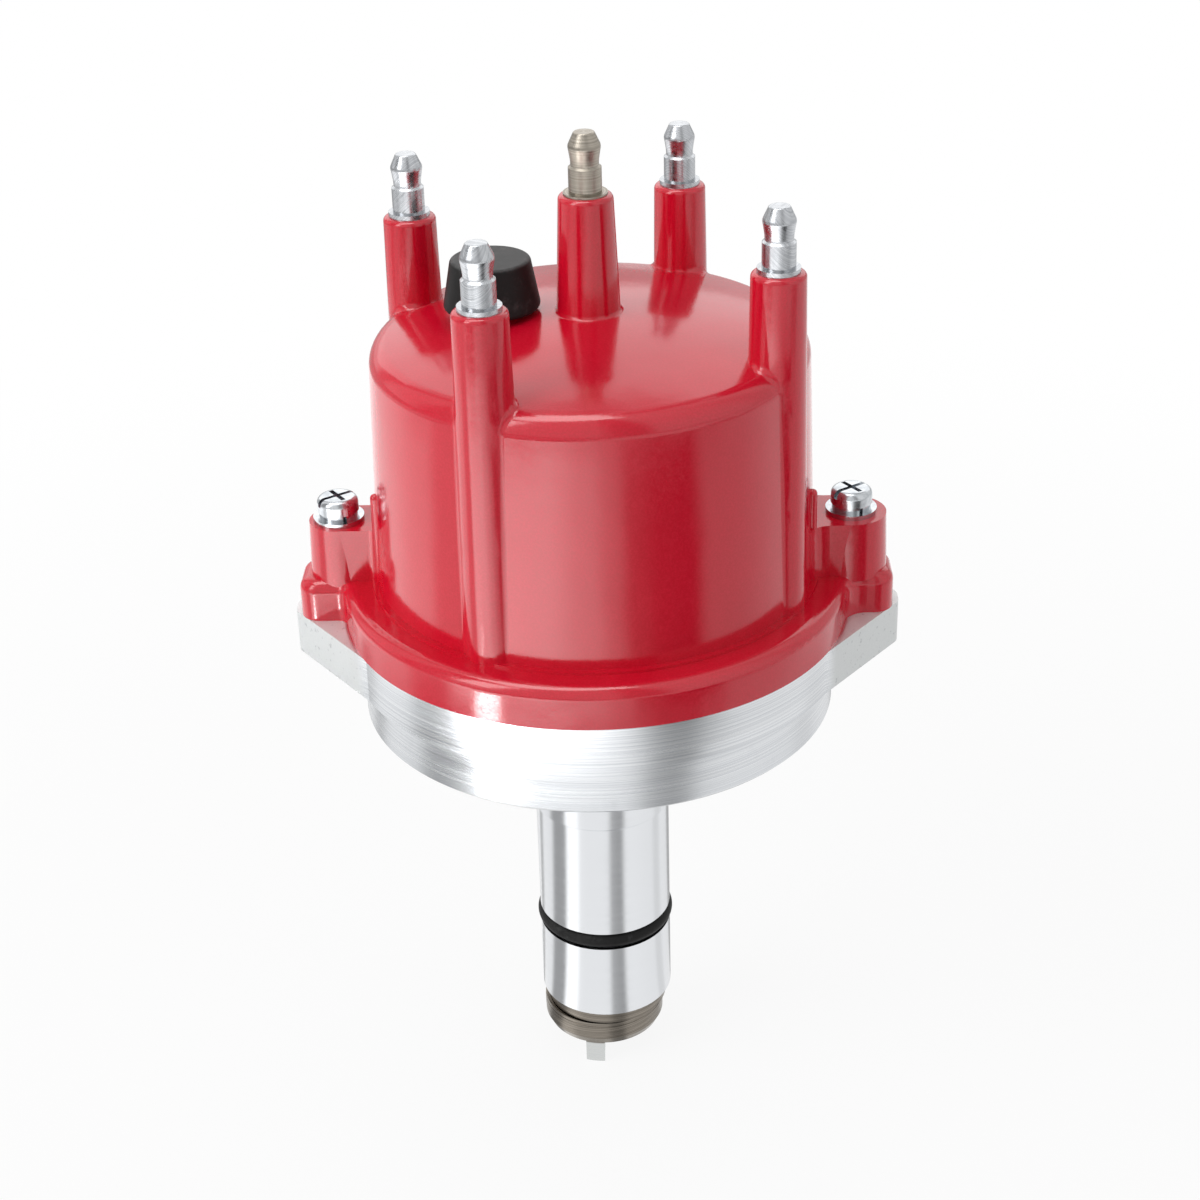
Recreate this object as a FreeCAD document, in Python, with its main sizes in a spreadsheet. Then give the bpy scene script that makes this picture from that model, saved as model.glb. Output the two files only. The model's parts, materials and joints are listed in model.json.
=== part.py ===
import FreeCAD, Part
import math
import os
import re
import Sketcher
from FreeCAD import Vector

# Ignition distributor for a four-cylinder engine with a 27 mm shank bore.
# The frame is in millimetres: +Z runs up the drive shaft's axis, the origin lies on that axis in the
# plane where the shank meets the housing's neck, and the two cap ears lie along X.

doc = FreeCAD.newDocument("ignition_distributor")
sheet = doc.addObject("Spreadsheet::Sheet", "dims")

SIZES = [
    # Housing: shank, neck, bowl and eared plate
    ("shank_radius", 13.5),
    ("shank_length", 46.4),
    ("shank_chamfer", 0.6),
    ("neck_step", 0.5),
    ("neck_chamfer", 0.4),
    ("plate_radius", 48.2),
    ("plate_lip", 2.4),
    ("bowl_wall", 6.3),
    ("bowl_chamfer", 0.5),
    ("floor_thick", 3.5),
    ("joint_height", 44.6),
    ("plate_thick", 8.7),
    ("recess_wall", 5.7),
    ("recess_depth", 3.6),
    ("screw_offset", 0.6),
    ("ear_land", 9.6),
    ("ear_tip_half", 1.92),
    ("ear_relief", 0.7),
    ("ear_corner", 3.0),
    ("shaft_bore", 8.0),
    ("bearing_seat_depth", 6.3),
    # O-ring in its groove
    ("oring_drop", 27.3),
    ("oring_section", 3.0),
    ("oring_proud", 0.5),
    ("groove_width", 3.8),
    ("groove_gap", 0.1),
    # Running and seating clearances
    ("running_gap", 0.04),
    ("seat_gap", 0.1),
    ("lay_gap", 0.3),
    # Depth by which moulded forms run into each other
    ("merge", 1.0),
    # Drive shaft and its bearings
    ("shaft_radius", 6.0),
    ("spindle_radius", 4.5),
    ("bush_length", 20.0),
    ("bearing_outer", 12.0),
    ("bearing_width", 6.0),
    ("bearing_race", 1.9),
    ("ball_radius", 1.5),
    ("ball_count", 9),
    ("ball_gap", 0.05),
    ("cage_half_thick", 0.45),
    ("cage_width", 3.6),
    # Thrust washer, drive dog and cross pin
    ("washer_radius", 12.4),
    ("washer_thick", 2.3),
    ("dog_radius", 12.45),
    ("dog_length", 5.6),
    ("dog_bevel", 0.8),
    ("dog_shift", 0.75),
    ("dog_play", 0.25),
    ("dog_floor", 0.9),
    ("dog_joint_gap", 0.25),
    ("pin_radius", 1.6),
    ("pin_drop", 1.75),
    ("tang_thick", 3.9),
    ("tang_offset", 1.85),
    ("tang_depth", 4.9),
    ("clip_width", 1.7),
    ("clip_depth", 0.8),
    ("clip_proud", 0.05),
    # Centrifugal advance
    ("base_plate_lift", 0.5),
    ("base_plate_thick", 2.0),
    ("base_plate_reach", 30.0),
    ("base_plate_width", 28.0),
    ("pivot_pitch", 22.0),
    ("pivot_radius", 2.0),
    ("weight_inner", 13.0),
    ("weight_outer", 29.0),
    ("weight_thick", 4.5),
    ("weight_start", -15.0),
    ("weight_end", 100.0),
    ("clip_outer", 3.4),
    ("clip_thick", 0.8),
    ("pin_head", 0.7),
    ("stud_radius", 1.5),
    ("stud_angle", 50.0),
    ("stud_pitch", 15.0),
    ("stud_height", 3.0),
    ("advance_range", 12.0),
    ("yoke_lift", 1.4),
    ("yoke_thick", 2.0),
    ("yoke_hub", 9.5),
    ("slot_gap", 0.5),
    ("slot_wall", 2.2),
    ("spring_radius", 1.3),
    ("spring_wire", 0.3),
    ("spring_turns", 6),
    ("post_radius", 0.9),
    ("post_pitch", 24.0),
    ("post_angle", 140.0),
    ("tail_angle", 92.0),
    ("post_height", 3.4),
    ("spring_arm_width", 5.4),
    ("sleeve_wall", 1.86),
    ("sleeve_height", 29.5),
    # Magnetic trigger
    ("pickup_room", 1.4),
    ("pickup_plate_thick", 1.6),
    ("pickup_plate_hole", 12.5),
    ("reluctor_base", 3.6),
    ("reluctor_thick", 6.0),
    ("reluctor_hub", 9.0),
    ("reluctor_reach", 15.0),
    ("reluctor_tooth", 3.4),
    ("air_gap", 0.4),
    ("pickup_length", 12.0),
    ("pickup_width", 15.0),
    ("pickup_height", 11.0),
    ("module_length", 15.0),
    ("module_width", 30.0),
    ("module_height", 7.5),
    ("module_gap", 1.0),
    ("module_bow", 1.0),
    ("foot_lug", 6.4),
    ("foot_thick", 1.5),
    ("small_screw", 1.5),
    ("small_screw_proud", 0.6),
    ("small_head", 2.7),
    ("small_head_height", 1.8),
    # Rotor
    ("rotor_hub", 10.0),
    ("rotor_base", 15.0),
    ("rotor_disc_radius", 24.0),
    ("rotor_top", 25.4),
    ("rotor_disc_thick", 4.0),
    ("rotor_arm_width", 15.0),
    ("rotor_arm_reach", 31.5),
    ("blade_width", 8.0),
    ("blade_thick", 1.2),
    ("spark_gap", 0.6),
    ("contact_radius", 3.5),
    ("contact_height", 1.8),
    ("contact_bevel", 0.6),
    # Distributor cap
    ("flange_proud", 0.2),
    ("flange_height", 8.0),
    ("flange_round", 2.4),
    ("ledge_width", 5.4),
    ("step_width", 1.2),
    ("step_height", 0.5),
    ("wall_draft", 1.4),
    ("wall_thick", 3.8),
    ("cap_height", 56.0),
    ("rim_round", 4.4),
    ("spigot_wall", 2.8),
    ("spigot_depth", 1.8),
    ("cavity_draft", 1.0),
    ("cavity_flare", 2.0),
    ("roof_thick", 4.0),
    ("brush_boss_radius", 6.0),
    ("brush_boss_length", 14.0),
    # Towers
    ("tower_inset", 2.8),
    ("tower_angle", -27.4),
    ("tower_foot_radius", 5.9),
    ("tower_head_radius", 4.92),
    ("tower_top", 72.9),
    ("tower_round", 0.9),
    ("rib_blend", 1.4),
    ("centre_foot_radius", 6.15),
    ("centre_head_radius", 4.96),
    ("centre_top", 81.9),
    # Ear blocks and screw bosses of the cap
    ("block_half_width", 6.5),
    ("block_land", 8.2),
    ("block_corner", 3.8),
    ("left_blend", 2.0),
    ("right_blend", 4.5),
    ("left_boss_radius", 5.7),
    ("right_boss_radius", 6.7),
    ("boss_draft", 0.4),
    ("boss_top", 18.7),
    ("left_web_blend", 2.0),
    ("right_web_blend", 4.0),
    ("bead_radius", 0.9),
    ("bead_rise", 7.0),
    # Terminals
    ("rod_radius", 2.5),
    ("rod_bottom", 24.0),
    ("collar_lip", 0.87),
    ("centre_collar_lip", 1.03),
    ("collar_thick", 0.9),
    ("centre_collar_thick", 0.4),
    ("terminal_radius", 3.0),
    ("neck_cut", 0.45),
    ("tip_taper", 1.14),
    ("shoulder_height", 4.5),
    ("neck_bevel", 0.35),
    ("neck_height", 5.65),
    ("neck_round", 6.0),
    ("bulb_height", 8.4),
    ("bulb_round", 1.5),
    ("terminal_height", 10.85),
    ("tip_round", 0.4),
    # Carbon brush under the centre terminal
    ("brush_radius", 2.4),
    ("brush_length", 12.0),
    ("brush_bevel", 0.5),
    ("brush_wire", 0.25),
    ("brush_turns", 8),
    # Vent
    ("vent_x", -17.6),
    ("vent_y", 1.0),
    ("stub_radius", 5.2),
    ("stub_height", 9.0),
    ("vent_cap_lift", 4.6),
    ("vent_cap_foot", 9.0),
    ("vent_cap_head", 7.3),
    ("vent_cap_height", 9.3),
    ("vent_cap_round", 0.8),
    ("vent_hole", 1.5),
    # Cap screws with their washers
    ("screw_radius", 2.0),
    ("screw_hole_gap", 0.2),
    ("screw_bevel", 0.5),
    ("screw_grip", 7.2),
    ("washer_disc_radius", 4.86),
    ("washer_disc_thick", 0.9),
    ("lock_radius", 3.7),
    ("lock_thick", 1.1),
    ("lock_split", 0.7),
    ("lock_angle", -70.0),
    ("head_radius", 3.95),
    ("head_height", 2.9),
    ("head_round", 1.3),
    ("recess_slot", 0.9),
    ("recess_angle", 35.0),
    ("recess_deep", 1.5),
    ("recess_span", 2.6),
    # Lead grommet in the bowl's floor
    ("grommet_inset", 0.3),
    ("grommet_angle", -146.0),
    ("grommet_radius", 3.9),
    ("grommet_flange", 6.0),
    ("grommet_drop", 5.6),
    ("grommet_rise", 1.0),
    ("lead_hole", 2.2),
]
# Sizes that follow from others
DERIVED = {
    "stack_height": "floor_thick + base_plate_lift + base_plate_thick + lay_gap + weight_thick + yoke_lift",
    "bowl_bottom": "joint_height - recess_depth - pickup_room - yoke_thick - stack_height",
    "neck_radius": "shank_radius + neck_step",
    "bowl_radius": "plate_radius - plate_lip",
    "bowl_inner": "bowl_radius - bowl_wall",
    "recess_radius": "plate_radius - recess_wall",
    "screw_pitch": "plate_radius + screw_offset",
    "ear_reach": "screw_pitch + ear_land",
    "ear_edge_offset": "plate_radius - ear_relief",
    "ear_edge_angle": "atan(ear_tip_half / ear_reach) + acos(ear_edge_offset / hypot(ear_reach; ear_tip_half))",
    "oring_reach": "shank_radius + oring_proud",
    "bearing_pitch": "(shaft_radius + bearing_outer) / 2",
    "dog_bore": "shaft_radius + dog_shift + dog_play",
    "sleeve_radius": "spindle_radius + running_gap + sleeve_wall",
    "pickup_plate_radius": "recess_radius - lay_gap",
    "flange_radius": "plate_radius + flange_proud",
    "step_radius": "flange_radius - ledge_width",
    "wall_foot_radius": "step_radius - step_width",
    "wall_head_radius": "wall_foot_radius - wall_draft",
    "cavity_foot_radius": "wall_foot_radius - wall_thick",
    "cavity_head_radius": "cavity_foot_radius - cavity_draft",
    "module_rim_radius": "cavity_foot_radius - module_gap",
    "module_reach": "module_rim_radius - module_bow",
    "spigot_inner": "recess_radius - seat_gap - spigot_wall",
    "tower_pitch": "wall_head_radius - tower_inset",
    "block_reach": "screw_pitch + block_land",
    "collar_radius": "terminal_radius + collar_lip",
    "centre_collar_radius": "terminal_radius + centre_collar_lip",
    "terminal_neck": "terminal_radius - neck_cut",
    "terminal_tip": "terminal_radius - tip_taper",
    "brush_guide_radius": "brush_radius + seat_gap",
    "grommet_pitch": "bowl_inner - grommet_radius - grommet_inset",
}
NAMES = [name for name, _ in SIZES]
for row, (name, size) in enumerate(SIZES, start=1):
    sheet.set("A%d" % row, name.replace("_", " "))
    sheet.set("B%d" % row, str(size))
    sheet.setAlias("B%d" % row, name)
doc.recompute()


def bound(text):
    """Write a formula of size names as an expression on the sheet."""
    def spell(word):
        name = word.group(0)
        if name in DERIVED:
            return "(" + bound(DERIVED[name]) + ")"
        return "dims." + name if name in NAMES else name
    return re.sub(r"[a-z_]+", spell, text)


def number(text):
    """Work out a formula of size names."""
    return float(sheet.evalExpression(bound(text)))


# Heights that many pieces share, as formulas of the sheet's sizes
FLOOR = "bowl_bottom + floor_thick"
BEARING_SEAT = FLOOR + " - bearing_seat_depth"
BASE_PLATE = FLOOR + " + base_plate_lift"
SLEEVE_FOOT = BASE_PLATE + " + base_plate_thick + seat_gap"
SLEEVE_TOP = SLEEVE_FOOT + " + sleeve_height"
WEIGHTS = BASE_PLATE + " + base_plate_thick + lay_gap"
WEIGHTS_TOP = WEIGHTS + " + weight_thick"
YOKE = WEIGHTS_TOP + " + yoke_lift"
PICKUP_SEAT = "joint_height - recess_depth"
PICKUP_TOP = PICKUP_SEAT + " + pickup_plate_thick"
ROOF = "joint_height + cap_height - roof_thick"
ROTOR_TOP = "joint_height + rotor_top"
BLADE_TOP = ROTOR_TOP + " + blade_thick"
BRUSH_BOTTOM = BLADE_TOP + " + contact_height + seat_gap"
WASHER_TOP = "0 - shank_length - seat_gap"
DOG_TOP = WASHER_TOP + " - washer_thick - dog_joint_gap"
DOG_BOTTOM = DOG_TOP + " - dog_length"
PIN_LEVEL = DOG_TOP + " - pin_drop"
SHAFT_END = DOG_BOTTOM + " + dog_floor + lay_gap"
CAP_TOP = "joint_height + cap_height"
BOSS_TOP = "joint_height + boss_top"


def plane(body, role):
    return [item for item in body.Origin.OriginFeatures if item.Role == role][0]


def new_body(label):
    body = doc.addObject("PartDesign::Body", label)
    body.Label = label
    return body


def new_sketch(body, name, role="XY_Plane", height=None):
    sketch = body.newObject("Sketcher::SketchObject", name)
    sketch.AttachmentSupport = [(plane(body, role), "")]
    sketch.MapMode = "FlatFace"
    if height is not None:
        sketch.setExpression("AttachmentOffset.Base.z", bound(height))
    return sketch


def pin_down(sketch, index, position, first, second):
    """Bind one point of a sketch to two formulas."""
    for kind, text in (("DistanceX", first), ("DistanceY", second)):
        place = sketch.addConstraint(Sketcher.Constraint(kind, -1, 1, index, position, number(text)))
        sketch.setExpression("Constraints[%d]" % place, bound(text))


def draw_outline(sketch, points):
    """Draw a closed outline of straight lines through points given as pairs of formulas."""
    places = [Vector(number(first), number(second), 0) for first, second in points]
    count = len(places)
    start = sketch.GeometryCount
    for i in range(count):
        sketch.addGeometry(Part.LineSegment(places[i], places[(i + 1) % count]))
    for i in range(count):
        sketch.addConstraint(Sketcher.Constraint("Coincident", start + i, 2, start + (i + 1) % count, 1))
    for i, (first, second) in enumerate(points):
        pin_down(sketch, start + i, 1, first, second)


def draw_circle(sketch, first, second, radius):
    centre = Vector(number(first), number(second), 0)
    index = sketch.addGeometry(Part.Circle(centre, Vector(0, 0, 1), number(radius)))
    pin_down(sketch, index, 3, first, second)
    place = sketch.addConstraint(Sketcher.Constraint("Radius", index, number(radius)))
    sketch.setExpression("Constraints[%d]" % place, bound(radius))


def turn(body, name, points, cut=False):
    """Revolve a profile of (radius, height) formulas about Z."""
    sketch = new_sketch(body, name + "_profile", "XZ_Plane")
    draw_outline(sketch, points)
    kind = "PartDesign::Groove" if cut else "PartDesign::Revolution"
    feature = body.newObject(kind, name)
    feature.Profile = sketch
    feature.ReferenceAxis = (sketch, ["V_Axis"])
    feature.Angle = 360
    doc.recompute()
    return feature


def pad(body, name, sketch, length, cut=False, down=False):
    feature = body.newObject("PartDesign::Pocket" if cut else "PartDesign::Pad", name)
    feature.Profile = sketch
    feature.setExpression("Length", bound(length))
    feature.Reversed = down
    doc.recompute()
    return feature


def edge_places(edge):
    """The ends of an edge and its middle."""
    middle = edge.valueAt((edge.FirstParameter + edge.LastParameter) / 2)
    return [vertex.Point for vertex in edge.Vertexes] + [middle]


def ring_edges(shape, radius, height, slack=0.05):
    """Name the circular edges about Z that have this radius and height."""
    names = []
    for i, edge in enumerate(shape.Edges, start=1):
        curve = edge.Curve
        if curve.TypeId != "Part::GeomCircle" or abs(abs(curve.Axis.z) - 1) > 1e-6:
            continue
        if math.hypot(curve.Center.x, curve.Center.y) > slack:
            continue
        if abs(curve.Radius - radius) < slack and abs(curve.Center.z - height) < slack:
            names.append("Edge%d" % i)
    return names


def upright_edges(shape, x, slack=1e-3):
    """Name the upright straight edges that stand at this x."""
    names = []
    for i, edge in enumerate(shape.Edges, start=1):
        first, last = edge_places(edge)[0], edge_places(edge)[-2]
        upright = math.hypot(first.x - last.x, first.y - last.y) < slack < abs(first.z - last.z)
        if upright and abs(first.x - x) < slack:
            names.append("Edge%d" % i)
    return names


def soften(body, name, base, edges, radius):
    feature = body.newObject("PartDesign::Fillet", name)
    feature.Base = (base, edges)
    feature.setExpression("Radius", bound(radius))
    doc.recompute()
    return feature


def round_edges(name, base, rows):
    """Round edges of a fused solid, given as (index, radius) rows."""
    rounded = doc.addObject("Part::Fillet", name)
    rounded.Base = base
    rounded.Edges = [(index, radius, radius) for index, radius in rows]
    doc.recompute()
    return rounded


def turned_piece(label, points):
    body = new_body(label)
    turn(body, label + "_turned", points)
    return body


def stand(item, x="0", y="0", z="0", angle=None):
    """Place an object by formulas, turned about Z if an angle is given."""
    for axis, text in (("x", x), ("y", y), ("z", z)):
        item.setExpression("Placement.Base." + axis, bound(text))
    if angle is not None:
        item.Placement.Rotation = FreeCAD.Rotation(Vector(0, 0, 1), number(angle))
        item.setExpression("Placement.Rotation.Angle", bound(angle))
    return item


def polar(pitch, angle):
    return pitch + " * cos(" + angle + ")", pitch + " * sin(" + angle + ")"


def solid_cylinder(name, radius, height, x="0", y="0", z="0"):
    item = doc.addObject("Part::Cylinder", name)
    item.setExpression("Radius", bound(radius))
    item.setExpression("Height", bound(height))
    return stand(item, x, y, z)


def solid_cone(name, foot, head, height, x="0", y="0", z="0"):
    item = doc.addObject("Part::Cone", name)
    item.setExpression("Radius1", bound(foot))
    item.setExpression("Radius2", bound(head))
    item.setExpression("Height", bound(height))
    return stand(item, x, y, z)


def solid_box(name, length, width, height, x, y, z):
    item = doc.addObject("Part::Box", name)
    item.setExpression("Length", bound(length))
    item.setExpression("Width", bound(width))
    item.setExpression("Height", bound(height))
    return stand(item, x, y, z)


def fuse(name, items):
    result = doc.addObject("Part::MultiFuse", name)
    result.Shapes = items
    result.Label = name
    return result


def cut(name, base, tool):
    result = doc.addObject("Part::Cut", name)
    result.Base = base
    result.Tool = tool
    result.Label = name
    return result


def common(name, items):
    result = doc.addObject("Part::MultiCommon", name)
    result.Shapes = items
    result.Label = name
    return result


# Housing: one turned casting with a shank, a bowl and an eared plate
def build_housing():
    body = new_body("housing")
    low = "0 - oring_drop - groove_width / 2"
    high = "0 - oring_drop + groove_width / 2"
    groove = "oring_reach - oring_section - groove_gap"
    plate_bottom = "joint_height - plate_thick"
    turn(body, "housing_turned", [
        ("shaft_bore", "0 - shank_length"),
        ("shank_radius - shank_chamfer", "0 - shank_length"),
        ("shank_radius", "shank_chamfer - shank_length"),
        ("shank_radius", low),
        (groove, low),
        (groove, high),
        ("shank_radius", high),
        ("shank_radius", "0"),
        ("neck_radius - neck_chamfer", "0"),
        ("neck_radius", "neck_chamfer"),
        ("neck_radius", "bowl_bottom"),
        ("bowl_radius - bowl_chamfer", "bowl_bottom"),
        ("bowl_radius", "bowl_bottom + bowl_chamfer"),
        ("bowl_radius", plate_bottom),
        ("plate_radius", plate_bottom),
        ("plate_radius", "joint_height"),
        ("recess_radius", "joint_height"),
        ("recess_radius", PICKUP_SEAT),
        ("bowl_inner", PICKUP_SEAT),
        ("bowl_inner", FLOOR),
        ("bearing_outer", FLOOR),
        ("bearing_outer", BEARING_SEAT),
        ("shaft_bore", BEARING_SEAT),
    ])
    ears = new_sketch(body, "ear_outline", height=plate_bottom)
    root = "recess_radius + seat_gap"
    root_half = "(ear_edge_offset - (%s) * cos(ear_edge_angle)) / sin(ear_edge_angle)" % root
    for side in ("", "-"):
        draw_outline(ears, [
            (side + "1 * (%s)" % root, "-1 * " + root_half),
            (side + "ear_reach", "0 - ear_tip_half"),
            (side + "ear_reach", "ear_tip_half"),
            (side + "1 * (%s)" % root, root_half),
        ])
    ear_pad = pad(body, "ears", ears, "plate_thick")
    reach = number("ear_reach")
    corners = upright_edges(ear_pad.Shape, -reach) + upright_edges(ear_pad.Shape, reach)
    soften(body, "ear_corners", ear_pad, corners, "ear_corner")
    holes = new_sketch(body, "tapped_holes", height="joint_height")
    for side in ("", "-"):
        draw_circle(holes, side + "screw_pitch", "0", "screw_radius")
    pad(body, "tapped", holes, "plate_thick", cut=True)
    inlet = new_sketch(body, "lead_inlet", height=FLOOR)
    draw_circle(inlet, GROMMET_X, GROMMET_Y, "grommet_radius")
    pad(body, "inlet", inlet, "floor_thick", cut=True)
    return body


GROMMET_X = "grommet_pitch * cos(grommet_angle)"
GROMMET_Y = "grommet_pitch * sin(grommet_angle)"


def build_oring():
    ring = doc.addObject("Part::Torus", "o_ring")
    ring.setExpression("Radius1", bound("oring_reach - oring_section / 2"))
    ring.setExpression("Radius2", bound("oring_section / 2"))
    return stand(ring, z="0 - oring_drop")


def build_grommet():
    low = "bowl_bottom - grommet_drop"
    piece = turned_piece("lead_grommet", [
        ("lead_hole", low),
        ("grommet_flange - grommet_rise", low),
        ("grommet_flange", low + " + grommet_rise"),
        ("grommet_flange", "bowl_bottom"),
        ("grommet_radius", "bowl_bottom"),
        ("grommet_radius", FLOOR),
        ("lead_hole", FLOOR),
    ])
    return stand(piece, GROMMET_X, GROMMET_Y)


# Drive shaft with the bearings that carry it
def build_shaft():
    body = new_body("drive_shaft")
    step = BASE_PLATE + " + base_plate_thick"
    turn(body, "shaft_turned", [
        ("0", SHAFT_END),
        ("shaft_radius", SHAFT_END),
        ("shaft_radius", step),
        ("spindle_radius", step),
        ("spindle_radius", SLEEVE_TOP),
        ("0", SLEEVE_TOP),
    ])
    cross = new_sketch(body, "cross_hole", "YZ_Plane")
    draw_circle(cross, "0", PIN_LEVEL, "pin_radius")
    hole = pad(body, "cross_pin_hole", cross, "4 * shaft_radius", cut=True)
    hole.Midplane = True
    return body


def build_bearings():
    turned_piece("lower_bush", [
        ("shaft_radius + running_gap", "0 - shank_length"),
        ("shaft_bore", "0 - shank_length"),
        ("shaft_bore", "bush_length - shank_length"),
        ("shaft_radius + running_gap", "bush_length - shank_length"),
    ])
    top = BEARING_SEAT + " + bearing_width"
    middle = BEARING_SEAT + " + bearing_width / 2"
    rings = (
        ("bearing_outer_ring", "bearing_outer - bearing_race", "bearing_outer"),
        ("bearing_inner_ring", "shaft_radius", "shaft_radius + bearing_race"),
    )
    for label, inner, outer in rings:
        blank = turned_piece(label + "_blank", [
            (inner, BEARING_SEAT),
            (outer, BEARING_SEAT),
            (outer, top),
            (inner, top),
        ])
        groove = doc.addObject("Part::Torus", label + "_groove")
        groove.setExpression("Radius1", bound("bearing_pitch"))
        groove.setExpression("Radius2", bound("ball_radius + ball_gap"))
        stand(groove, z=middle)
        cut(label, blank, groove)
    balls = []
    pockets = []
    for i in range(int(number("ball_count"))):
        angle = "360 * %d / ball_count" % i
        x, y = polar("bearing_pitch", angle)
        ball = doc.addObject("Part::Sphere", "ball_%d" % (i + 1))
        ball.setExpression("Radius", bound("ball_radius"))
        balls.append(stand(ball, x, y, middle))
        pocket = solid_cylinder("pocket_%d" % (i + 1), "ball_radius + ball_gap", "4 * cage_half_thick")
        outward = FreeCAD.Rotation(Vector(0, 0, 1), 360.0 * i / number("ball_count"))
        pocket.Placement.Rotation = outward.multiply(FreeCAD.Rotation(Vector(0, 1, 0), 90))
        x, y = polar("(bearing_pitch - 2 * cage_half_thick)", angle)
        pockets.append(stand(pocket, x, y, middle))
    fuse("bearing_balls", balls)
    cage = turned_piece("bearing_cage_blank", [
        ("bearing_pitch - cage_half_thick", middle + " - cage_width / 2"),
        ("bearing_pitch + cage_half_thick", middle + " - cage_width / 2"),
        ("bearing_pitch + cage_half_thick", middle + " + cage_width / 2"),
        ("bearing_pitch - cage_half_thick", middle + " + cage_width / 2"),
    ])
    cut("bearing_cage", cage, fuse("cage_pockets", pockets))


# Thrust washer, dog and cross pin: the offset tang that takes the drive
def build_drive_end():
    turned_piece("thrust_washer", [
        ("shaft_radius + seat_gap", WASHER_TOP + " - washer_thick"),
        ("washer_radius", WASHER_TOP + " - washer_thick"),
        ("washer_radius", WASHER_TOP),
        ("shaft_radius + seat_gap", WASHER_TOP),
    ])
    clip_low = PIN_LEVEL + " - clip_width / 2"
    clip_high = PIN_LEVEL + " + clip_width / 2"
    dog = new_body("dog_blank")
    turn(dog, "dog_turned", [
        ("0", DOG_BOTTOM),
        ("dog_radius - dog_bevel", DOG_BOTTOM),
        ("dog_radius", DOG_BOTTOM + " + dog_bevel * 2"),
        ("dog_radius", clip_low),
        ("dog_radius - clip_depth", clip_low),
        ("dog_radius - clip_depth", clip_high),
        ("dog_radius", clip_high),
        ("dog_radius", DOG_TOP),
        ("dog_bore", DOG_TOP),
        ("dog_bore", DOG_BOTTOM + " + dog_floor"),
        ("0", DOG_BOTTOM + " + dog_floor"),
    ])
    cross = new_sketch(dog, "dog_cross_hole", "YZ_Plane")
    draw_circle(cross, "0", PIN_LEVEL, "pin_radius + running_gap")
    hole = pad(dog, "dog_pin_hole", cross, "4 * dog_radius", cut=True)
    hole.Midplane = True
    stand(dog, "0 - dog_shift")
    reach = "dog_radius - dog_bevel"
    disc = solid_cylinder("tang_disc", reach, "tang_depth", "0 - dog_shift", "0", DOG_BOTTOM + " - tang_depth")
    bar = solid_box("tang_bar", "tang_thick", "2 * dog_radius", "tang_depth",
                    "0 - dog_shift - tang_offset - tang_thick / 2", "0 - dog_radius",
                    DOG_BOTTOM + " - tang_depth")
    fuse("drive_dog", [dog, common("tang", [disc, bar])])
    clip = turned_piece("dog_retaining_ring", [
        ("dog_radius - clip_depth", clip_low),
        ("dog_radius + clip_proud", clip_low),
        ("dog_radius + clip_proud", clip_high),
        ("dog_radius - clip_depth", clip_high),
    ])
    stand(clip, "0 - dog_shift")
    pin = doc.addObject("Part::Cylinder", "drive_pin")
    half = "(dog_radius - clip_depth - dog_shift - seat_gap)"
    pin.setExpression("Radius", bound("pin_radius"))
    pin.setExpression("Height", bound("2 * " + half))
    pin.Placement.Rotation = FreeCAD.Rotation(Vector(0, 1, 0), 90)
    stand(pin, "-1 * " + half, "0", PIN_LEVEL)


# Centrifugal advance: two weights on a plate of the shaft turn the sleeve against two springs
def build_base_plate():
    disc = solid_cylinder("base_plate_disc", "base_plate_reach", "base_plate_thick", z=BASE_PLATE)
    flat = solid_box("base_plate_flat", "2 * base_plate_reach", "base_plate_width", "base_plate_thick",
                     "0 - base_plate_reach", "0 - base_plate_width / 2", BASE_PLATE)
    arms = []
    for turn_by in ("0", "180"):
        angle = "post_angle + " + turn_by
        arm = solid_box("spring_arm_" + turn_by, "post_pitch + 2 * post_radius", "spring_arm_width",
                        "base_plate_thick", "0", "0", BASE_PLATE)
        arms.append(stand(arm, "spring_arm_width / 2 * sin(%s)" % angle,
                          "0 - spring_arm_width / 2 * cos(%s)" % angle, BASE_PLATE, angle))
    plate = fuse("base_plate_blank", [common("base_plate_bar", [disc, flat])] + arms)
    bore = solid_cylinder("base_plate_bore", "shaft_radius", "base_plate_thick", z=BASE_PLATE)
    cut("advance_base_plate", plate, bore)
    pins = []
    posts = []
    for turn_by in ("0", "180"):
        x, y = polar("pivot_pitch", turn_by)
        pins.append(solid_cylinder("pivot_" + turn_by, "pivot_radius",
                                   "lay_gap + weight_thick + seat_gap + clip_thick + pin_head", x, y,
                                   BASE_PLATE + " + base_plate_thick"))
        x, y = polar("post_pitch", "post_angle + " + turn_by)
        posts.append(solid_cylinder("post_" + turn_by, "post_radius",
                                    "lay_gap + weight_thick + post_height", x, y,
                                    BASE_PLATE + " + base_plate_thick"))
    fuse("weight_pivot_pins", pins)
    fuse("spring_posts", posts)


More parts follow.
